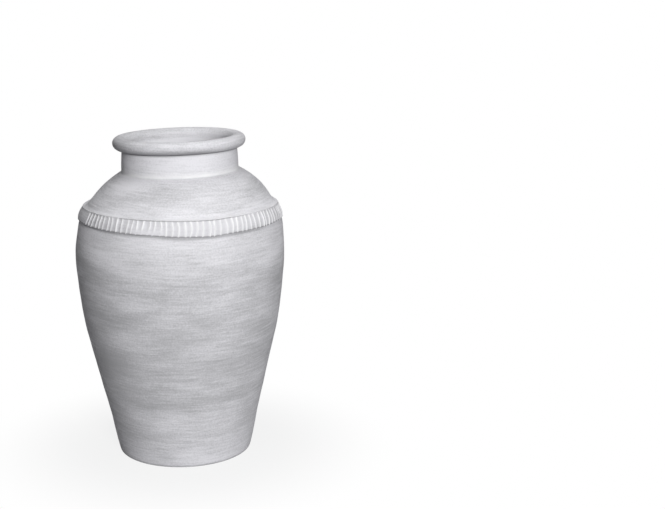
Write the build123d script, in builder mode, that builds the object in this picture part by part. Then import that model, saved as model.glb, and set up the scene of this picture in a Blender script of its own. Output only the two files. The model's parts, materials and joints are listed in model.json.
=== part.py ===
"""Wide-mouthed storage jar: a whitewashed clay jar built up from luted sections."""

import os
from math import radians, tan

from build123d import *

os.makedirs("parts", exist_ok=True)

# Foot
foot_radius = 125.6
slab_thickness = 20
drain_radius = 14

# Wall: a straight cone below, then two arcs that meet upright at the belly
wall_thickness = 12
wall_lean = 13.05
lower_wall_height = 205
upper_wall_height = 155
crease_rise = 66
crease_inset = 7.1

# Seat of the notched band, a cone on the wall above the crease
seat_lean = 17
seat_height = 36.5
seat_joint_share = 0.5

# Shoulder
shoulder_rise = 57.5
shoulder_curve_radius = 170

# Neck
neck_radius = 106.3
neck_flare = 2
neck_bevel = 3.5
neck_height = 43

# Rolled rim, round on the outside and fuller towards the mouth
rim_roll_radius = 13.2
mouth_roll_radius = 15

# Notched band, measured along its seat and square to it
band_foot_step = 3.1
band_thickness = 6.2
band_top_slope = 7

# Notches, pressed down the band's face with a round-nosed tool so that they meet in ridges
notch_count = 110
notch_radius = 8
notch_depth = 2.3
notch_top_margin = 3
notch_overrun = 6

# Heights, stacked from the ground up
waist_height = slab_thickness + lower_wall_height
belly_height = waist_height + upper_wall_height
crease_height = belly_height + crease_rise
seat_joint_height = crease_height + seat_height * seat_joint_share
seat_top_height = crease_height + seat_height
shoulder_top = seat_top_height + shoulder_rise
rim_base = shoulder_top + neck_height
roll_height = rim_base + rim_roll_radius
rim_top = roll_height + rim_roll_radius

# Radii that follow from the sizes above
slab_top_radius = foot_radius + slab_thickness * tan(radians(wall_lean))
waist_radius = foot_radius + waist_height * tan(radians(wall_lean))
belly_radius = waist_radius + upper_wall_height * tan(radians(wall_lean / 2))
crease_radius = belly_radius - crease_inset
seat_top_radius = crease_radius - seat_lean
neck_foot_radius = neck_radius + neck_flare
neck_root_radius = neck_foot_radius + neck_bevel
mouth_radius = neck_radius - wall_thickness
roll_radius = mouth_radius + mouth_roll_radius

# The seat's two ends in the plane of the profile, and its directions up and outward
seat_foot = Vector(crease_radius, crease_height)
seat_head = Vector(seat_top_radius, seat_top_height)
seat_up = (seat_head - seat_foot).normalized()
seat_out = seat_up.rotate(Axis.Z, -90)

# The band's face, from its foot to its brow, and its directions up and outward
band_foot = seat_foot + seat_out * band_foot_step
band_brow = seat_head - seat_up * band_top_slope + seat_out * band_thickness
face_up = (band_brow - band_foot).normalized()
face_out = face_up.rotate(Axis.Z, -90)
face_length = (band_brow - band_foot).length

# The vessel's wall and neck, shelled to an even thickness, open at both ends
with BuildPart() as vessel:
    with BuildSketch(Plane.XZ):
        with BuildLine():
            side = Line((foot_radius, 0), (waist_radius, waist_height))
            TangentArc(side @ 1, (belly_radius, belly_height), tangent=side % 1)
            TangentArc((belly_radius, belly_height), seat_foot, tangent=(0, 1))
            Line(seat_foot, seat_head)
            RadiusArc(seat_head, (neck_root_radius, shoulder_top), -shoulder_curve_radius)
            Polyline(
                (neck_root_radius, shoulder_top),
                (neck_foot_radius, shoulder_top + neck_bevel),
                (neck_radius, rim_base),
                (0, rim_base),
                (0, 0),
                (foot_radius, 0),
            )
        make_face()
    revolve(axis=Axis.Z)
    offset(
        amount=-wall_thickness,
        openings=vessel.faces().filter_by(Axis.Z),
        kind=Kind.INTERSECTION,
    )

# The floor of the jar, a slab with a drain hole
with BuildPart() as base_slab:
    with BuildSketch(Plane.XZ):
        with BuildLine():
            Polyline(
                (drain_radius, 0),
                (foot_radius, 0),
                (slab_top_radius, slab_thickness),
                (drain_radius, slab_thickness),
                close=True,
            )
        make_face()
    revolve(axis=Axis.Z)
base_slab.part.label = "base_slab"
export_step(base_slab.part, "parts/base_slab.step")

# The sections of the wall, luted to each other on level joints
wall_sections = {
    "lower_wall": (slab_thickness, waist_height),
    "upper_wall": (waist_height, seat_joint_height),
    "shoulder": (seat_joint_height, shoulder_top),
    "neck": (shoulder_top, rim_base),
}
for name, (section_foot, section_head) in wall_sections.items():
    with BuildPart() as section:
        add(vessel.part)
        split(bisect_by=Plane.XY.offset(section_foot), keep=Keep.TOP)
        split(bisect_by=Plane.XY.offset(section_head), keep=Keep.BOTTOM)
    section.part.label = name
    export_step(section.part, f"parts/{name}.step")

# The rolled rim: over the mouth, round the outside, and under to the neck
with BuildPart() as rim:
    with BuildSketch(Plane.XZ):
        with BuildLine():
            underside = Line((neck_radius, rim_base), (roll_radius, rim_base))
            CenterArc((roll_radius, roll_height), rim_roll_radius, -90, 180)
            mouth = CenterArc((roll_radius, rim_top - mouth_roll_radius), mouth_roll_radius, 90, 90)
            Polyline(mouth @ 1, (mouth_radius, rim_base), underside @ 0)
        make_face()
    revolve(axis=Axis.Z)
rim.part.label = "rim"
export_step(rim.part, "parts/rim.step")

# The notching tool, laid down the band's face from under the brow past the foot
notch_top = band_brow - face_up * notch_top_margin + face_out * (notch_radius - notch_depth)
notch_plane = Plane(origin=(notch_top.X, 0, notch_top.Y), z_dir=(-face_up.X, 0, -face_up.Y))
with BuildPart() as notch:
    with BuildSketch(notch_plane):
        Circle(notch_radius)
    extrude(amount=face_length - notch_top_margin + notch_overrun)

# The notched band, a strip of clay laid over the joint of wall and shoulder
with BuildPart() as notched_band:
    with BuildSketch(Plane.XZ):
        with BuildLine():
            Polyline(seat_foot, band_foot, band_brow, seat_head, close=True)
        make_face()
    revolve(axis=Axis.Z)
    with PolarLocations(0, notch_count):
        add(notch.part, mode=Mode.SUBTRACT)
notched_band.part.label = "notched_band"
export_step(notched_band.part, "parts/notched_band.step")
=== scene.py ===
import json
import math
import random

import bpy
from mathutils import Matrix, Vector


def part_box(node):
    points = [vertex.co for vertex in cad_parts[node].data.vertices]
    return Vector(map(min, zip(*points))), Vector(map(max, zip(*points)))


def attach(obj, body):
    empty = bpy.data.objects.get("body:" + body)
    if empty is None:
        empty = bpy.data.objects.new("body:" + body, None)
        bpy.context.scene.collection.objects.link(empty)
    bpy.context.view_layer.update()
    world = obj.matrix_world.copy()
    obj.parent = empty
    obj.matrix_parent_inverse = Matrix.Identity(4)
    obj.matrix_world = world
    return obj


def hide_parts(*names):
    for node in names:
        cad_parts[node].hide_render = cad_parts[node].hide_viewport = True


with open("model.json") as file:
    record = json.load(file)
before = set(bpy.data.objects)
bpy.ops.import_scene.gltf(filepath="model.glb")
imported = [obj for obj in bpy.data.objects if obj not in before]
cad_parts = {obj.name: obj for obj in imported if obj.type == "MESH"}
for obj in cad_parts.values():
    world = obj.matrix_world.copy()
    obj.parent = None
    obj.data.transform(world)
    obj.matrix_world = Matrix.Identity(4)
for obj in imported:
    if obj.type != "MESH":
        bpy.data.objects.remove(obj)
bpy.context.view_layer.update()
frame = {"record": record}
mounts = {mount["name"]: mount for mount in frame["record"]["mounts"]}
millimetre = 0.001

# Heights of the level joints, from the ground up
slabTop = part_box("base_slab")[1].z
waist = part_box("lower_wall")[1].z
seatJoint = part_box("upper_wall")[1].z
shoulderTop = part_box("shoulder")[1].z
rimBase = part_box("neck")[1].z
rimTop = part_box("rim")[1].z

# Radii
drainRadius = mounts["drain_hole"]["dims"]["r_mm"] * millimetre
mouthRadius = mounts["mouth"]["dims"]["r_mm"] * millimetre
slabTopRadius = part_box("base_slab")[1].x
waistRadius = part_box("lower_wall")[1].x
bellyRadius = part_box("upper_wall")[1].x
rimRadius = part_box("rim")[1].x


# The camera stands where the photograph was taken from, 0.9 m up and tipped a little down
def placeCamera():
    view = {
        "distance": 2.358,
        "height": 0.913,
        "pitch": 12.87,
        "yaw": 6.97,
        "roll": 0.22,
        "focalPixels": 1272,
        "frameWidth": 665,
        "sensor": 36,
    }
    bpy.ops.object.camera_add()
    camera = bpy.context.object
    camera.name = "photographer"
    camera.data.sensor_width = view["sensor"]
    camera.data.lens = view["sensor"] * view["focalPixels"] / view["frameWidth"]
    camera.data.dof.use_dof = False
    place = Matrix.Translation((0, -view["distance"], view["height"]))
    turn = Matrix.Rotation(math.radians(-view["yaw"]), 4, "Z")
    tip = Matrix.Rotation(math.radians(90 - view["pitch"]), 4, "X")
    roll = Matrix.Rotation(math.radians(view["roll"]), 4, "Z")
    camera.matrix_world = place @ turn @ tip @ roll
    bpy.context.scene.camera = camera
    print("camera placed")


# A socket that can be reckoned with: 1 - mask * 0.5 adds its Math nodes
class Socket:
    def __init__(self, tree, link=None):
        self.tree = tree
        self.link = link

    def node(self, kind, settings=None, values=None, out=0):
        made = self.tree.nodes.new(kind)
        for name, setting in (settings or {}).items():
            if name == "stops":
                ramp = made.color_ramp
                while len(ramp.elements) < len(setting):
                    ramp.elements.new(1)
                for element, (position, colour) in zip(ramp.elements, setting):
                    element.position = position
                    element.color = colour
            else:
                setattr(made, name, setting)
        for name, value in (values or {}).items():
            if isinstance(value, Socket):
                self.tree.links.new(value.link, made.inputs[name])
            else:
                made.inputs[name].default_value = value
        return Socket(self.tree, made.outputs[out])

    def reckon(self, operation, first, second):
        return self.node("ShaderNodeMath", {"operation": operation}, {0: first, 1: second})

    def __add__(self, other):
        return self.reckon("ADD", self, other)

    def __radd__(self, other):
        return self.reckon("ADD", other, self)

    def __sub__(self, other):
        return self.reckon("SUBTRACT", self, other)

    def __rsub__(self, other):
        return self.reckon("SUBTRACT", other, self)

    def __mul__(self, other):
        return self.reckon("MULTIPLY", self, other)

    def __rmul__(self, other):
        return self.reckon("MULTIPLY", other, self)

    def step(self, low, high):
        limits = {"Value": self, "From Min": low, "From Max": high}
        return self.node("ShaderNodeMapRange", {"interpolation_type": "SMOOTHSTEP"}, limits)

    def blend(self, first, second):
        settings = {"data_type": "RGBA", "clamp_factor": True}
        return self.node("ShaderNodeMix", settings, {0: self, 6: first, 7: second}, out=2)


def newMaterial(name):
    material = bpy.data.materials.new(name)
    material.use_nodes = True
    tree = material.node_tree
    tree.nodes.clear()
    output = tree.nodes.new("ShaderNodeOutputMaterial")
    return material, Socket(tree), output


# A big soft lamp behind the camera and to its right, a weaker one overhead, and white all round
def lightStudio():
    studio = {
        "frontWatts": 165, "frontSize": 1.0, "frontPlace": (1.03, -4.47, 1.75),
        "topWatts": 15, "topSize": 1.2, "topPlace": (0, -0.1, 2.2),
        "lampAim": (0, 0, 0.33),
        "roomLight": 0.045,
        "white": (1, 1, 1, 1),
        "floorSize": 16,
        "floorColour": (0.55, 0.55, 0.56, 1),
        "floorGlow": 0.86,
        "shadowReach": (0.15, 0.42),
    }
    for name in ("front", "top"):
        bpy.ops.object.light_add(type="AREA", location=studio[name + "Place"])
        lamp = bpy.context.object
        lamp.name = name + "Lamp"
        lamp.data.energy = studio[name + "Watts"]
        lamp.data.size = studio[name + "Size"]
        aim = Vector(studio["lampAim"]) - lamp.location
        lamp.rotation_euler = aim.to_track_quat("-Z", "Y").to_euler()

    # The world lights the jar dimly, and is white for the camera and in reflections
    world = bpy.data.worlds.new("studioWorld")
    bpy.context.scene.world = world
    world.use_nodes = True
    tree = world.node_tree
    tree.nodes.clear()
    pen = Socket(tree)
    seen = [pen.node("ShaderNodeLightPath", out=name)
            for name in ("Is Camera Ray", "Is Glossy Ray", "Is Transmission Ray")]
    white = pen.node("ShaderNodeBackground", values={"Color": studio["white"], "Strength": 1})
    dim = pen.node("ShaderNodeBackground", values={
        "Color": studio["white"], "Strength": studio["roomLight"]})
    both = pen.node("ShaderNodeMixShader", values={0: seen[0] + seen[1] + seen[2], 1: dim, 2: white})
    output = tree.nodes.new("ShaderNodeOutputWorld")
    tree.links.new(both.link, output.inputs["Surface"])

    # The floor is white too, but for a light shadow round the foot
    bpy.ops.mesh.primitive_plane_add(size=studio["floorSize"])
    floor = bpy.context.object
    floor.name = "floor"
    material, pen, output = newMaterial("paleFloor")
    place = pen.node("ShaderNodeTexCoord", out="Object")
    away = pen.node("ShaderNodeVectorMath", {"operation": "LENGTH"}, {0: place}, out="Value")
    camera = pen.node("ShaderNodeLightPath", out="Is Camera Ray")
    glow = studio["floorGlow"]
    clear = (glow + (1 - glow) * away.step(*studio["shadowReach"])) * camera
    matt = pen.node("ShaderNodeBsdfDiffuse", values={"Color": studio["floorColour"]})
    white = pen.node("ShaderNodeEmission", values={"Color": studio["white"], "Strength": 1})
    both = pen.node("ShaderNodeMixShader", values={0: clear, 1: matt, 2: white})
    pen.tree.links.new(both.link, output.inputs["Surface"])
    floor.data.materials.append(material)
    bpy.context.scene.view_settings.view_transform = "Standard"
    print("studio lit")


# Whitewash over grey clay: thick at the neck, worn thin on the belly, brushed round the jar, with painted
# shade and painted highlights laid over it
def mixWhitewash():
    wash = {
        "thick": (0.85, 0.845, 0.88, 1),
        "thin": (0.44, 0.44, 0.455, 1),
        # White of chalk on the notch ridges, also used as painted highlight at the neck root and on the
        # band's top
        "ridge": (0.95, 0.95, 0.96, 1),
        # The dark of painted shade, laid in creases, in the notches and under the lip, the band and the
        # foot
        "hollow": (0.10, 0.10, 0.105, 1),
        "clay": (0.40, 0.395, 0.39, 1),
        "coverRange": (-0.15, 1.15),
        "clayCover": 0.8,
        "ridgeBreak": 2.0,
        "roughness": 0.88,
        "sheenOfCover": 0.1,
        "specular": 0.25,
        "swayScale": 5.0,
        "sway": 0.016,
        "grainScale": 340.0,
        "grainCover": 0.6,
        "bumpHeight": 0.5 * millimetre,
        "bumpStrength": 0.5,
    }
    # The brush's marks, from wide to fine: size round and up the jar, detail, share of the cover
    marks = {
        "patch": ((6.0, 6.0, 20.0), 3.0, 1.0),
        "blotch": ((16.0, 16.0, 48.0), 3.0, 0.3),
        "stroke": ((9.0, 9.0, 190.0), 2.0, 0.42),
        "hair": ((30.0, 30.0, 420.0), 1.0, 0.55),
    }
    # What stands up from the clay
    relief = {"stroke": 0.4, "hair": 0.3, "grain": 0.35}
    # How thick the wash lies at each share of the jar's height; the thicker wash near the foot is painted
    # light, standing in for light thrown up from the floor
    thicknessAndPaintedLight = {
        0.00: 0.66, 0.06: 0.62, 0.14: 0.58, 0.18: 0.46, 0.22: 0.22, 0.28: 0.28, 0.36: 0.33,
        0.50: 0.38, 0.58: 0.40, 0.65: 0.55, 0.73: 0.79, 0.745: 0.92, 0.785: 0.92, 0.80: 0.78,
        0.84: 0.40, 0.86: 0.50, 0.882: 0.84, 0.91: 0.95, 0.955: 0.95, 0.962: 0.55,
    }
    material, pen, output = newMaterial("whitewash")
    place = pen.node("ShaderNodeTexCoord", out="Object")
    sway = pen.node("ShaderNodeTexNoise", values={
        "Vector": place, "Scale": wash["swayScale"], "Detail": 1.0}, out="Color")
    sway = pen.node("ShaderNodeVectorMath", {"operation": "SCALE"}, {0: sway, "Scale": wash["sway"]})
    swayed = pen.node("ShaderNodeVectorMath", {"operation": "ADD"}, {0: place, 1: sway})

    painted = {name: pen.node("ShaderNodeAttribute", {"attribute_name": name}, out="Fac")
               for name in ("ridge", "hollow", "inside", "stain")}
    height = pen.node("ShaderNodeSeparateXYZ", values={0: place}, out="Z") * (1 / rimTop)
    stops = [(share, (depth, depth, depth, 1)) for share, depth in thicknessAndPaintedLight.items()]
    laid = pen.node("ShaderNodeValToRGB", {"stops": stops}, {0: height})

    # Each noise is taken about nought, so that it thins the wash as often as it thickens it
    noise = {}
    # Stains, painted shade and the painted light in the mouth shift the cover
    cover = laid + painted["stain"]
    for name, (size, detail, share) in marks.items():
        along = pen.node("ShaderNodeMapping", values={"Vector": swayed, "Scale": size})
        cloud = pen.node("ShaderNodeTexNoise", values={"Vector": along, "Scale": 1.0, "Detail": detail})
        noise[name] = cloud - 0.5
        cover = cover + noise[name] * share
    noise["grain"] = pen.node("ShaderNodeTexNoise", values={
        "Vector": place, "Scale": wash["grainScale"], "Detail": 1.0}) - 0.5
    cover = cover + noise["grain"] * wash["grainCover"]

    colour = cover.step(*wash["coverRange"]).blend(wash["thin"], wash["thick"])
    bare = painted["inside"] * (wash["clayCover"] - noise["patch"])
    colour = bare.blend(colour, wash["clay"])
    # Painted shade darkens the creases and the undersides
    colour = painted["hollow"].blend(colour, wash["hollow"])
    # Chalk on the ridges, and painted highlight at the neck root and along the band's top
    chalkAndHighlight = painted["ridge"] * (1.0 + wash["ridgeBreak"] * noise["blotch"])
    colour = chalkAndHighlight.blend(colour, wash["ridge"])

    bump = pen.node("ShaderNodeBump", values={
        "Height": sum(share * noise[name] for name, share in relief.items()),
        "Distance": wash["bumpHeight"],
        "Strength": wash["bumpStrength"],
    })
    shader = pen.node("ShaderNodeBsdfPrincipled", values={
        "Base Color": colour,
        "Roughness": wash["roughness"] - wash["sheenOfCover"] * cover,
        "Specular IOR Level": wash["specular"],
        "Normal": bump,
    })
    pen.tree.links.new(shader.link, output.inputs["Surface"])
    print("whitewash mixed")
    return material


# What the potter's wheel gives every piece
wheel = {
    "sides": 224,
    "rowHeight": 6 * millimetre,
    "jointHold": 0.7 * millimetre,
    "wall": 12 * millimetre,
    "outerRipple": 0.10 * millimetre,
    "innerRipple": 0.6 * millimetre,
    # Three waves, each as length, phase and strength
    "ripples": ((6.2 * millimetre, 0, 1), (10.1 * millimetre, 1.3, 0.8), (17.3 * millimetre, 0.4, 1.1)),
}


def smooth(value, low, high):
    t = min(max((value - low) / (high - low), 0), 1)
    return t * t * (3 - 2 * t)


def pick(piece):
    bpy.ops.object.select_all(action="DESELECT")
    piece.select_set(True)
    bpy.context.view_layer.objects.active = piece


def arcPoints(centre, radius, startAngle, endAngle, count):
    points = []
    for step in range(count + 1):
        angle = startAngle + (endAngle - startAngle) * step / count
        points.append((centre[0] + radius * math.cos(angle), centre[1] + radius * math.sin(angle)))
    return points


# An arc that swells outwards between two (radius, height) points
def swell(start, end, radius, count):
    start, end = Vector(start), Vector(end)
    chord = end - start
    inward = Vector((-chord.y, chord.x)).normalized()
    centre = (start + end) / 2 + inward * math.sqrt(radius ** 2 - (chord.length / 2) ** 2)
    first, last = start - centre, end - centre
    angles = math.atan2(first.y, first.x), math.atan2(last.y, last.x)
    return arcPoints(centre, radius, *angles, count)[1:]


# The wall's outer face, from the slab to the rim, as (radius, height) rows
body = {
    "bellyRise": 155 * millimetre,
    "bellySpare": 0.7 * millimetre,
    "hollowing": 1.9 * millimetre,
    "hollowReach": 60 * millimetre,
    "creaseRise": 69 * millimetre,
    "creaseInset": 7.7 * millimetre,
    "creaseCut": 1.4 * millimetre,
    "shadowClear": 10 * millimetre,
    "shadowRows": (8, 5.5, 3.5, 2, 1, 0),
    "seatHeight": 33.5 * millimetre,
    "seatLean": 16.4 * millimetre,
    "seatShares": (0.04, 0.08, 0.12, 0.3, 0.5, 0.75, 1),
    "seatCutShare": 0.3,
    "shoulderCurve": 170 * millimetre,
    "shoulderRows": 18,
    "neckRadius": 106.3 * millimetre,
    "neckFlare": 2 * millimetre,
    "neckFillet": 3.5 * millimetre,
    "filletRows": 5,
    "neckShares": (0.12, 0.28, 0.44, 0.6, 0.76, 0.86, 0.93, 0.97, 1),
}
belly = waist + body["bellyRise"]
crease = belly + body["creaseRise"]
creaseRadius = bellyRadius - body["creaseInset"]
seatTop = crease + body["seatHeight"]
seatTopRadius = creaseRadius - body["seatLean"]
neckRadius = body["neckRadius"]
neckFootRadius = neckRadius + body["neckFlare"]
rootRadius = neckFootRadius + body["neckFillet"]
neckFoot = shoulderTop + body["neckFillet"]


def ripple(height):
    return sum(strength * math.sin(height / length + phase)
               for length, phase, strength in wheel["ripples"])


def drawOuterFace():
    count = round((waist - slabTop) / wheel["rowHeight"])
    rows = []
    for step in range(count + 1):
        share = step / count
        radius = slabTopRadius + (waistRadius - slabTopRadius) * share
        rows.append((radius, slabTop + (waist - slabTop) * share))

    # Two arcs stand upright where they meet, at the belly
    full = bellyRadius - body["bellySpare"]
    for (radius, height), (endRadius, endHeight) in (
        ((waistRadius, waist), (full, belly)),
        ((full, belly), (creaseRadius, crease)),
    ):
        inset, rise = abs(endRadius - radius), endHeight - height
        curve = (rise ** 2 + inset ** 2) / (2 * inset)
        rows += swell((radius, height), (endRadius, endHeight), curve, round(rise / wheel["rowHeight"]))

    # The wall is drawn in a little between the foot and the belly
    reach = body["hollowReach"]
    for index, (radius, height) in enumerate(rows):
        within = smooth(height, slabTop, slabTop + reach) * smooth(height, belly, belly - reach)
        rows[index] = (radius - body["hollowing"] * within, height)

    # Close rows at the crease, which is cut in for the shadow line under the band
    top = rows.pop()
    rows = [row for row in rows if row[1] < crease - body["shadowClear"]]
    slope = (top[0] - rows[-1][0]) / (top[1] - rows[-1][1])
    shadow = [below * millimetre for below in body["shadowRows"]]
    for below in shadow:
        cut = body["creaseCut"] * smooth(below, shadow[1], 0)
        rows.append((top[0] - slope * below - cut, top[1] - below))
    for share in body["seatShares"]:
        cut = body["creaseCut"] * smooth(share, body["seatCutShare"], 0)
        rows.append((creaseRadius - body["seatLean"] * share - cut, crease + body["seatHeight"] * share))

    root = (rootRadius, shoulderTop)
    rows += swell((seatTopRadius, seatTop), root, body["shoulderCurve"], body["shoulderRows"])
    fillet = body["neckFillet"]
    rows += arcPoints((rootRadius, neckFoot), fillet, -math.pi / 2, -math.pi, body["filletRows"])[1:]
    for share in body["neckShares"]:
        rows.append((neckFootRadius - body["neckFlare"] * share, neckFoot + (rimBase - neckFoot) * share))
    return rows


# The inner face keeps the wall's thickness, square to the outer one
def drawInnerFace(outer):
    rows = []
    for step, (radius, height) in enumerate(outer):
        before = outer[max(step - 1, 0)]
        after = outer[min(step + 1, len(outer) - 1)]
        along = Vector((after[0] - before[0], after[1] - before[1])).normalized()
        inner = (radius - along.y * wheel["wall"], height + along.x * wheel["wall"])
        if not rows or inner[1] > rows[-1][1]:
            rows.append(inner)
    return rows


# The part of a face between two level joints, with a row held close to each joint
def cutFace(rows, low, high, strength):
    def radiusAt(height):
        for (lowRadius, below), (highRadius, above) in zip(rows, rows[1:]):
            if height <= above or (highRadius, above) == rows[-1]:
                return lowRadius + (highRadius - lowRadius) * (height - below) / (above - below)

    hold = wheel["jointHold"]
    heights = [low, low + hold]
    heights += [height for radius, height in rows if low + 2 * hold < height < high - 2 * hold]
    heights += [high - hold, high]
    return [(radiusAt(height) + strength * ripple(height), height) for height in heights]


# Rings are drawn up from the first one by extruding and resizing, then closed
def turnOnWheel(name, rows):
    bpy.ops.object.select_all(action="DESELECT")
    radius, height = rows[0]
    bpy.ops.mesh.primitive_circle_add(vertices=wheel["sides"], radius=radius, location=(0, 0, height))
    piece = bpy.context.object
    piece.name = name
    bpy.ops.object.transform_apply(location=True)
    bpy.ops.object.mode_set(mode="EDIT")
    bpy.ops.mesh.select_all(action="SELECT")
    for nextRadius, nextHeight in rows[1:]:
        bpy.ops.mesh.extrude_region_move(TRANSFORM_OT_translate={"value": (0, 0, nextHeight - height)})
        share = nextRadius / radius
        bpy.ops.transform.resize(value=(share, share, 1), center_override=(0, 0, 0))
        radius, height = nextRadius, nextHeight
    bpy.ops.mesh.select_all(action="DESELECT")
    bpy.ops.mesh.select_non_manifold()
    bpy.ops.mesh.bridge_edge_loops()
    bpy.ops.mesh.select_all(action="SELECT")
    bpy.ops.mesh.normals_make_consistent(inside=False)
    bpy.ops.object.mode_set(mode="OBJECT")
    print(name, "turned")
    return piece


def turnWalls():
    outer = drawOuterFace()
    inner = drawInnerFace(outer)
    inner = [(inner[0][0], slabTop - millimetre)] + [row for row in inner if row[1] > slabTop]
    inner.append((mouthRadius, rimBase))
    sections = {
        "lowerWall": ("lower_wall", slabTop, waist),
        "upperWall": ("upper_wall", waist, seatJoint),
        "shoulderDome": ("shoulder", seatJoint, shoulderTop),
        "neckCollar": ("neck", shoulderTop, rimBase),
    }
    pieces = []
    for name, (node, low, high) in sections.items():
        front = cutFace(outer, low, high, wheel["outerRipple"])
        back = cutFace(inner, low, high, wheel["innerRipple"])
        piece = turnOnWheel(name, front + back[::-1])
        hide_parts(node)
        pieces.append(piece)
    return pieces


def turnSlab():
    slab = {
        "footRounding": 1.8 * millimetre,
        "roundingRows": 4,
        "rowWidth": 12 * millimetre,
        "sideShares": (0.2, 0.45, 0.7, 0.96, 1),
    }
    lean = (waistRadius - slabTopRadius) / (waist - slabTop)
    footRadius = slabTopRadius - slabTop * lean
    rounding = slab["footRounding"]
    flat = footRadius - rounding
    count = round((flat - drainRadius) / slab["rowWidth"])
    rows = [(drainRadius + (flat - drainRadius) * step / count, 0) for step in range(count + 1)]
    rows += arcPoints((flat, rounding), rounding, -math.pi / 2, 0, slab["roundingRows"])[1:]
    for share in slab["sideShares"]:
        height = rounding + (slabTop - rounding) * share
        rows.append((footRadius + lean * height, height))
    count = round((slabTopRadius - drainRadius) / slab["rowWidth"])
    for step in range(1, count + 1):
        rows.append((slabTopRadius + (drainRadius - slabTopRadius) * step / count, slabTop))
    piece = turnOnWheel("baseSlab", rows)
    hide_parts("base_slab")
    return piece


# The lip is rolled over: a full round outside, an easier one down into the mouth
def turnRim():
    rim = {
        "rollRows": 22,
        "mouthRows": 12,
        "throatRows": 3,
    }
    roll = (rimTop - rimBase) / 2
    crestRadius = rimRadius - roll
    rows = [(neckRadius, rimBase)]
    rows += arcPoints((crestRadius, rimBase + roll), roll, -math.pi / 2, math.pi / 2, rim["rollRows"])
    easy = crestRadius - mouthRadius
    throat = rimTop - easy
    rows += arcPoints((crestRadius, throat), easy, math.pi / 2, math.pi, rim["mouthRows"])[1:]
    for step in range(1, rim["throatRows"] + 1):
        rows.append((mouthRadius, throat + (rimBase - throat) * step / rim["throatRows"]))
    piece = turnOnWheel("rolledRim", rows)
    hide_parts("rim")
    return piece


# What brush and weather left on the wash, with painted shade, painted highlight and painted light. Angles
# are in degrees right of the front.
wearAndShading = {
    # Lines round the jar, painted shade under the band, under the lip, on the lip's lower roll and at the
    # foot, and a painted highlight at the neck root: reach below, reach above, strength
    "underBand": (3 * millimetre, 5 * millimetre, 0.42),
    "underLip": (4.5 * millimetre, 3.5 * millimetre, 0.95),
    "lipShade": (1 * millimetre, 13 * millimetre, 0.72),
    "underFoot": (1 * millimetre, 3.5 * millimetre, 0.7),
    "neckRootHighlight": (5 * millimetre, 8 * millimetre, 0.85),
    # In front the painted shadow under the band is wider, and towards the sides and the back it fades, as
    # the painted shade on the lip does
    "frontReach": 5.5 * millimetre,
    "frontShares": (0.93, 0.99),
    "bandFadeRight": (36, 62, 0.85),
    "bandFadeLeft": (56, 74, 0.6),
    "bandFadeBack": (95, 150, 0.25),
    "lipFadeRight": (15, 40, 0.5),
    "lipFadeBack": (95, 150, 0.5),
    # The wash ends inside the mouth; above that, painted light brightens the inner wall where the front lip
    # shades it, less on the lit left
    "insideReach": (40 * millimetre, 200 * millimetre),
    "mouthReach": (8 * millimetre, 16 * millimetre),
    "mouthPaintedLight": 0.42,
    "mouthLeftShare": 0.3,
    "levelFace": 0.5 * millimetre,
    # Patches, partly real thick and thin wash and partly painted shade, most of it on the left where the
    # light falls off: angle, height in mm, reach in degrees and in mm, more wash (+) or less (-)
    "stainsAndShade": (
        (-62, 382, 24, 30, -0.48), (-60, 290, 24, 56, -0.30), (-55, 190, 26, 60, -0.22),
        (-62, 78, 32, 48, -0.52), (50, 271, 20, 26, -0.32), (56, 92, 22, 30, -0.20),
        (3, 105, 26, 24, 0.12), (36, 326, 24, 40, 0.12), (66, 400, 24, 30, 0.30),
        (-44, 406, 22, 24, 0.22), (68, 165, 24, 60, 0.26), (-8, 527, 34, 14, -0.10),
        (-48, 526, 28, 18, 0.55), (34, 514, 26, 20, 0.34), (-66, 596, 32, 16, -0.35),
        (-68, 470, 34, 20, -0.45), (30, 466, 50, 14, 0.25), (-40, 292, 22, 12, -0.22),
        (-42, 212, 20, 30, -0.24), (-70, 484, 26, 12, -0.32),
    ),
    "stainAndShadeEdge": 1.3,
}


def facing(vertex):
    return math.degrees(math.atan2(vertex.co.x, -vertex.co.y))


# Patches of real wash and of painted shade
def stainAndShadeAt(vertex):
    total = 0
    for middle, level, wide, tall, amount in wearAndShading["stainsAndShade"]:
        away = math.hypot((facing(vertex) - middle) / wide, (vertex.co.z / millimetre - level) / tall)
        total += amount * smooth(away, wearAndShading["stainAndShadeEdge"], 0)
    return total


def storeOnVertices(piece, name, values):
    layer = piece.data.attributes.new(name, "FLOAT", "POINT")
    layer.data.foreach_set("value", values)


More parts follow.
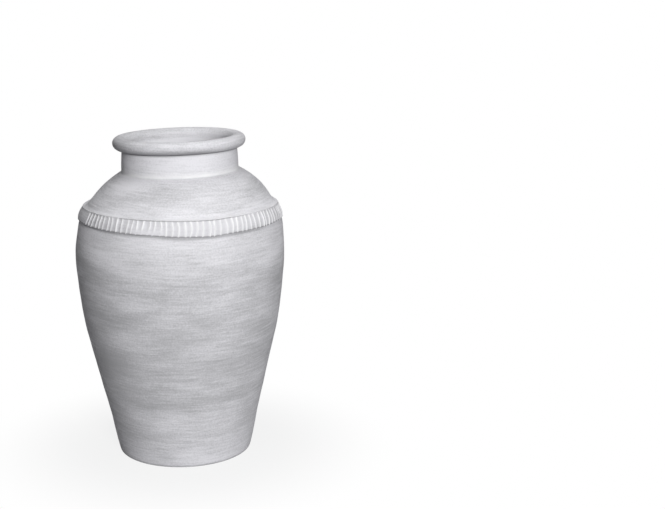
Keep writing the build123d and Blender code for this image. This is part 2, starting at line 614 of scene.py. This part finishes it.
def paintWearAndShading(pieces):
    def line(height, middle, name, spread=0):
        below, above, strength = wearAndShading[name]
        if height > middle:
            return strength * smooth(height, middle + above, middle)
        return strength * smooth(height, middle - below - spread, middle)

    def fade(angle, name):
        start, end, share = wearAndShading[name]
        return share * smooth(angle, start, end)

    # Painted shade: shadows under the band and the lip, shade on the lip's lower roll and along the foot
    def paintedShadeAt(height, angle, front):
        underBand = line(height, crease, "underBand", front * wearAndShading["frontReach"])
        underBand *= 1 - fade(angle, "bandFadeRight")
        underBand *= 1 - fade(-angle, "bandFadeLeft") - fade(-angle, "bandFadeBack")
        lipShade = line(height, rimBase, "lipShade")
        lipShade *= 1 - max(fade(angle, "lipFadeRight"), fade(-angle, "lipFadeBack"))
        return max(underBand, lipShade, line(height, rimBase, "underLip"), line(height, 0, "underFoot"))

    # Painted light inside the mouth, more on the shaded right and further down
    def mouthPaintedLight(vertex):
        near, far = wearAndShading["mouthReach"]
        left = wearAndShading["mouthLeftShare"]
        right = smooth(vertex.co.x, -mouthRadius / 4, mouthRadius / 2)
        deep = smooth(vertex.co.z, rimTop - near, rimTop - far)
        return wearAndShading["mouthPaintedLight"] * (left + (1 - left) * right) * deep

    near, far = wearAndShading["insideReach"]
    for piece in pieces:
        inside, hollow, ridge, stain = [], [], [], []
        for vertex in piece.data.vertices:
            height = vertex.co.z
            # A level face counts as inside, but for the underside
            outward = vertex.co.xy.dot(vertex.normal.xy) > wearAndShading["levelFace"]
            if outward or height < slabTop / 2:
                front = smooth(-vertex.co.y / bellyRadius, *wearAndShading["frontShares"])
                inside.append(0)
                hollow.append(paintedShadeAt(height, facing(vertex), front))
                # A painted highlight along the neck root
                ridge.append(line(height, neckFoot, "neckRootHighlight"))
                stain.append(stainAndShadeAt(vertex))
            else:
                inside.append(smooth(height, rimTop - near, rimTop - far))
                hollow.append(0)
                ridge.append(0)
                stain.append(mouthPaintedLight(vertex))
        storeOnVertices(piece, "inside", inside)
        storeOnVertices(piece, "hollow", hollow)
        storeOnVertices(piece, "ridge", ridge)
        storeOnVertices(piece, "stain", stain)
    print("wear painted")


# The notched band, as a flat strip first: x along it in notches, y out of the clay, z up its face
band = {
    "notchCount": 110,
    "acrossShares": (0, 0.06, 0.15, 0.29, 0.5, 0.71, 0.85, 0.94, 1),
    "upShares": (0, 0.06, 0.2, 0.4, 0.6, 0.8, 0.91, 0.955, 1),
    "depth": 1.35 * millimetre,
    "topDepthShare": 0.7,
    "ridgeDrop": 0.4 * millimetre,
    "lipLine": 1.0 * millimetre,
    "grooveShape": 3.0,
    "scallop": 0.045,
    "bulge": 2.0 * millimetre,
    "bulgeShape": 0.75,
    # Chalk and painted highlight on the ridges; painted shade in the grooves, at the foot, under the lip
    # and below the band
    "chalkShape": 3.5,
    "footChalk": 0.7,
    "browHighlight": 0.35,
    "grooveDark": 0.2,
    "footDark": (0.3, 0.15),
    "lipDark": 0.75,
    "underDark": 0.7,
    # The face's ends, and the rows by which it rolls onto the shoulder and turns under, in mm
    "foot": Vector((190.6, 453.0)) * millimetre,
    "brow": Vector((181.2, 478.8)) * millimetre,
    "browRows": (
        (180.2, 479.2), (177.8, 479.8), (175.4, 480.6), (173.3, 481.8),
        (171.6, 483.5), (170.4, 485.3), (168.9, 487.4), (167.2, 488.0),
    ),
    "footRows": ((190.1, 451.9), (188.8, 451.3), (185.4, 451.0)),
    # The top's painted highlight by radius in mm, and where it fades, in degrees left of the front
    "topHighlight": 0.15,
    "topHighlightReach": (173, 178),
    "topHighlightFade": (40, 64),
    # By hand: how each ridge differs, as the middle and the reach of its draw
    "seed": 7,
    "offset": (0, 0.17),
    "lean": (0.05, 0.26),
    "bow": (0.14, 0.14),
    "press": (1, 0.4),
    "tail": (-0.02, 0.04),
    "chalkAndHighlight": (1, 0.35),
    # Smears: first and last notch, and how far up the face
    "smears": ((74.6, 79.3, 0.36), (54.5, 62.5, 1.2)),
    "smearEnds": 0.6,
    "smearEdge": (-0.02, 0.06),
    "smearDepthShare": 0.45,
    "smearDarkShare": 0.3,
    # The painted shade line under the brow is clear in front and fades round the sides, to a share of each
    "lipClear": (0.7, 0.95),
    "lipDepthShare": 0.5,
    "lipDarkShare": 0.2,
    # Laid on: degrees right of the front, lift of the foot and lift of the brow in mm
    "laidOn": (
        (-180, -1, -3), (-100, 1, -2.5), (-70, 3.2, 0.8), (-42, 2, 1.5), (-18, 1.2, 0.9), (2, -1.9, -0.2),
        (17, -2.9, -0.7), (30, -0.6, 0.6), (45, 0.4, 1.9), (72, 1.2, 1.2), (100, 0.5, -2.5), (180, -1, -3),
    ),
    "laidReach": (1, 1.4),
}
faceUp = band["brow"] - band["foot"]


# One notch, as pressed with a round-nosed tool
def pressNotch():
    columns, rows = len(band["acrossShares"]) - 1, len(band["upShares"]) - 1
    bpy.ops.object.select_all(action="DESELECT")
    bpy.ops.mesh.primitive_grid_add(x_subdivisions=columns, y_subdivisions=rows, size=1)
    notch = bpy.context.object
    notch.name = "notch"
    bpy.ops.object.mode_set(mode="EDIT")
    bpy.ops.transform.rotate(value=math.radians(-90), orient_axis="X", center_override=(0, 0, 0))
    bpy.ops.transform.translate(value=(0.5, 0, 0.5))
    bpy.ops.object.mode_set(mode="OBJECT")
    ridge, hollow = [], []
    for vertex in notch.data.vertices:
        across = band["acrossShares"][round(vertex.co.x * columns)]
        row = round(abs(vertex.co.z) * rows)
        up = band["upShares"][row]
        middle = 1 - abs(2 * across - 1) ** band["grooveShape"]
        deep = band["ridgeDrop"] + band["depth"] * middle
        # white is chalk and painted highlight, dark is painted shade
        white, dark = abs(2 * across - 1) ** band["chalkShape"], band["grooveDark"] * middle
        if row == 0:
            up += band["scallop"] * middle
            white *= band["footChalk"]
            dark = band["footDark"][0] + band["footDark"][1] * middle
        if row == rows - 2:
            deep = band["ridgeDrop"] + band["topDepthShare"] * band["depth"] * middle
        if row == rows - 1:
            deep, white, dark = band["lipLine"], 0, band["lipDark"]
        if row == rows:
            deep, white, dark = 0, band["browHighlight"], 0
        vertex.co = (across, -deep, up)
        ridge.append(white)
        hollow.append(dark)
    storeOnVertices(notch, "ridge", ridge)
    storeOnVertices(notch, "hollow", hollow)
    return notch


def layStrip(notch):
    copies = [notch]
    for index in range(1, band["notchCount"]):
        pick(notch)
        bpy.ops.object.duplicate()
        bpy.ops.transform.translate(value=(index, 0, 0))
        copies.append(bpy.context.object)
    pick(notch)
    for copy in copies:
        copy.select_set(True)
    bpy.ops.object.join()
    strip = bpy.context.object
    strip.name = "notchedBand"
    bpy.ops.object.transform_apply(location=True, rotation=True, scale=True)
    return strip


# The strip is bent round the jar, each ridge a little off its even place
def wrapStrip(strip):
    count = band["notchCount"]
    dice = random.Random(band["seed"])

    def spread(name):
        middle, reach = band[name]
        return [middle + reach * dice.uniform(-1, 1) for ridge in range(count)]

    offset, lean, bow = spread("offset"), spread("lean"), spread("bow")
    press, tail, chalkAndHighlight = spread("press"), spread("tail"), spread("chalkAndHighlight")
    up = faceUp.normalized()
    out = Vector((up.y, -up.x))
    smearDepth = band["smearDepthShare"] * (band["ridgeDrop"] + band["depth"])
    lipRow = band["upShares"][-2]
    ridgePaint, shadePaint = strip.data.attributes["ridge"], strip.data.attributes["hollow"]
    for vertex in strip.data.vertices:
        x, deep, rise = vertex.co
        white, dark = 1, 1
        ridge = min(int(x), count - 1)
        share = x - ridge
        after = (ridge + 1) % count

        def between(values):
            return values[ridge] * (1 - share) + values[after] * share

        # Where the wash and a thumb have smeared the notches, the face is nearly even
        left = 1
        for first, last, top in band["smears"]:
            within = smooth(x, first - band["smearEnds"], first) * smooth(x, last + band["smearEnds"], last)
            low, high = (top + edge for edge in band["smearEdge"])
            left -= within * smooth(rise, high, low)
        if rise < lipRow:
            groove = min(deep + band["ridgeDrop"], 0) * press[ridge]
            deep = left * (groove - band["ridgeDrop"]) - (1 - left) * smearDepth
            white = left * between(chalkAndHighlight)
            dark = band["smearDarkShare"] + (1 - band["smearDarkShare"]) * left
        if rise == 0:
            rise += between(tail)
        x += between(offset) + between(lean) * (rise - 0.5) + between(bow) * 4 * rise * (1 - rise)
        angle = 2 * math.pi * x / count
        # The painted shade under the brow fades round the sides
        if abs(rise - lipRow) < 0.01:
            clear = smooth(-math.sin(angle), *band["lipClear"])
            deep *= band["lipDepthShare"] + (1 - band["lipDepthShare"]) * clear
            dark *= band["lipDarkShare"] + (1 - band["lipDarkShare"]) * clear
        ridgePaint.data[vertex.index].value *= white
        shadePaint.data[vertex.index].value *= dark
        bulge = band["bulge"] * math.sin(math.pi * max(rise, 0) ** band["bulgeShape"])
        point = band["foot"] + faceUp * rise + out * (deep + bulge)
        vertex.co = (point.x * math.cos(angle), point.x * math.sin(angle), point.y)


# The open edge above or below the middle of the band is selected, ready to extrude
def selectRim(strip, upper):
    middle = (band["foot"].y + band["brow"].y) / 2
    bpy.ops.object.mode_set(mode="EDIT")
    bpy.ops.mesh.select_mode(type="EDGE")
    bpy.ops.mesh.select_all(action="DESELECT")
    bpy.ops.mesh.select_non_manifold()
    bpy.ops.object.mode_set(mode="OBJECT")
    wanted = [edge for edge in strip.data.edges if edge.select
              and (strip.data.vertices[edge.vertices[0]].co.z > middle) == upper]
    for elements in (strip.data.vertices, strip.data.edges, strip.data.polygons):
        elements.foreach_set("select", [False] * len(elements))
    for edge in wanted:
        edge.select = True
        for index in edge.vertices:
            strip.data.vertices[index].select = True


# The open edge is drawn out over the given rows, and each new row is given painted shade and painted
# highlight
def rollEdge(strip, rows, dark, chalkAndHighlight):
    for radius, height in rows:
        highlit = chalkAndHighlight * smooth(radius, *band["topHighlightReach"])
        bpy.ops.object.mode_set(mode="EDIT")
        bpy.ops.mesh.extrude_region_move(TRANSFORM_OT_translate={"value": (0, 0, 0)})
        bpy.ops.object.mode_set(mode="OBJECT")
        ridge, hollow = strip.data.attributes["ridge"], strip.data.attributes["hollow"]
        for vertex in strip.data.vertices:
            if vertex.select:
                highlightFade = smooth(-facing(vertex), *band["topHighlightFade"])
                flat = vertex.co.xy.normalized() * radius * millimetre
                vertex.co = (flat.x, flat.y, height * millimetre)
                hollow.data[vertex.index].value = dark
                ridge.data[vertex.index].value = highlit * (1 - highlightFade)


# The brow rolls over onto the shoulder, and the foot turns under onto the wall
def makeBand():
    strip = layStrip(pressNotch())
    wrapStrip(strip)
    bpy.ops.object.mode_set(mode="EDIT")
    bpy.ops.mesh.select_all(action="SELECT")
    bpy.ops.mesh.remove_doubles(threshold=0.05 * millimetre)
    bpy.ops.mesh.normals_make_consistent(inside=False)
    bpy.ops.object.mode_set(mode="OBJECT")
    selectRim(strip, True)
    rollEdge(strip, band["browRows"], 0, band["topHighlight"])
    selectRim(strip, False)
    rollEdge(strip, band["footRows"], band["underDark"], 0)
    bpy.ops.object.mode_set(mode="EDIT")
    bpy.ops.mesh.select_all(action="DESELECT")
    bpy.ops.mesh.select_non_manifold()
    bpy.ops.mesh.bridge_edge_loops()
    bpy.ops.mesh.select_all(action="SELECT")
    bpy.ops.mesh.normals_make_consistent(inside=False)
    bpy.ops.object.mode_set(mode="OBJECT")
    storeOnVertices(strip, "stain", [stainAndShadeAt(vertex) for vertex in strip.data.vertices])
    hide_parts("notched_band")
    print("notchedBand pressed")
    return strip


# The band isn't level: what lies at its height rises and falls with it, round the jar
def layByEye(pieces):
    below, above = (reach * faceUp.y for reach in band["laidReach"])
    foot, brow = band["foot"].y, band["brow"].y
    for piece in pieces:
        for vertex in piece.data.vertices:
            angle, height = facing(vertex), vertex.co.z
            for (first, *before), (last, *after) in zip(band["laidOn"], band["laidOn"][1:]):
                if first <= angle <= last:
                    share = smooth(angle, first, last)
                    footLift, browLift = Vector(before) * (1 - share) + Vector(after) * share
                    break
            lift = footLift + (browLift - footLift) * min(max((height - foot) / faceUp.y, 0), 1)
            near = smooth(height, foot - below, foot) * smooth(height, brow + above, brow)
            vertex.co.z += lift * near * millimetre
    print("band laid on")


# The jar is a little out of true: the shoulder stands to the right, the mouth dips to the left,
# and the lip is pressed flatter in front and lowered at the back
def settle(pieces):
    slump = {
        "levels": 48,
        "corners": 4,
        "mouthTilt": 1.4,
        "lipDrop": 3.0 * millimetre,
        "shoulderDrop": 1.9 * millimetre,
        "frontDip": 2.3 * millimetre,
        "backDip": 3.0 * millimetre,
        "frontLift": 1.8 * millimetre,
        "footShift": 1.2 * millimetre,
        "wobble": 0.7 * millimetre,
        "wobbleSize": 110 * millimetre,
        # Sideways shifts, each as (from height, to height, shift), in mm
        "leans": ((60, 200, -1.2), (390, 445, 2.4), (478, 497, 1.6), (525, 548, -1.9), (575, 603, -0.6)),
    }
    bpy.ops.object.select_all(action="DESELECT")
    bpy.ops.object.add(type="LATTICE", location=(0, 0, rimTop / 2))
    cage = bpy.context.object
    cage.name = "slumpCage"
    cage.data.points_u = cage.data.points_v = slump["corners"]
    cage.data.points_w = slump["levels"]
    width = 2 * bellyRadius
    cage.scale = (width, width, rimTop)
    for point in cage.data.points:
        x, y, height = point.co.x * width, point.co.y * width, (point.co.z + 0.5) * rimTop
        shift = slump["footShift"]
        for low, high, reach in slump["leans"]:
            shift += reach * millimetre * smooth(height, low * millimetre, high * millimetre)
        raised = smooth(height, crease, shoulderTop)
        lift = x * math.tan(math.radians(slump["mouthTilt"]) * raised) - slump["shoulderDrop"] * raised
        lift -= (slump["lipDrop"] - slump["shoulderDrop"]) * smooth(height, shoulderTop, rimTop)
        crest = smooth(height, (rimBase + rimTop) / 2, rimTop)
        under = smooth(height, shoulderTop, rimBase) * (1 - crest)
        if y < 0:
            lift += (slump["frontLift"] * under - slump["frontDip"] * crest) * -y / rimRadius
        else:
            lift -= slump["backDip"] * crest * y / rimRadius
        point.co_deform.x += shift / width
        point.co_deform.z += lift / rimTop

    clouds = bpy.data.textures.new("unevenClay", "CLOUDS")
    clouds.noise_scale = slump["wobbleSize"]
    clouds.cloud_type = "COLOR"
    for piece in pieces:
        pick(piece)
        bend = piece.modifiers.new("slump", "LATTICE")
        bend.object = cage
        bpy.ops.object.modifier_apply(modifier=bend.name)
        # The foot stays flat on the ground
        loose = piece.vertex_groups.new(name="loose")
        for vertex in piece.data.vertices:
            loose.add([vertex.index], smooth(vertex.co.z, slabTop, waist / 2), "REPLACE")
        sway = piece.modifiers.new("wobble", "DISPLACE")
        sway.texture = clouds
        sway.texture_coords = "LOCAL"
        sway.direction = "RGB_TO_XYZ"
        sway.strength = slump["wobble"]
        sway.vertex_group = loose.name
        bpy.ops.object.modifier_apply(modifier=sway.name)
    bpy.data.objects.remove(cage)
    print("jar settled")


def finishPieces(pieces, material):
    sharpest = math.radians(40)
    for piece in pieces:
        pick(piece)
        bpy.ops.object.shade_smooth_by_angle(angle=sharpest)
        piece.data.materials.clear()
        piece.data.materials.append(material)
        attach(piece, "root")
    print("jar finished")


placeCamera()
lightStudio()
whitewash = mixWhitewash()
jar = [turnSlab()] + turnWalls() + [turnRim()]
paintWearAndShading(jar)
jar.append(makeBand())
layByEye(jar)
settle(jar)
finishPieces(jar, whitewash)

bpy.context.view_layer.update()
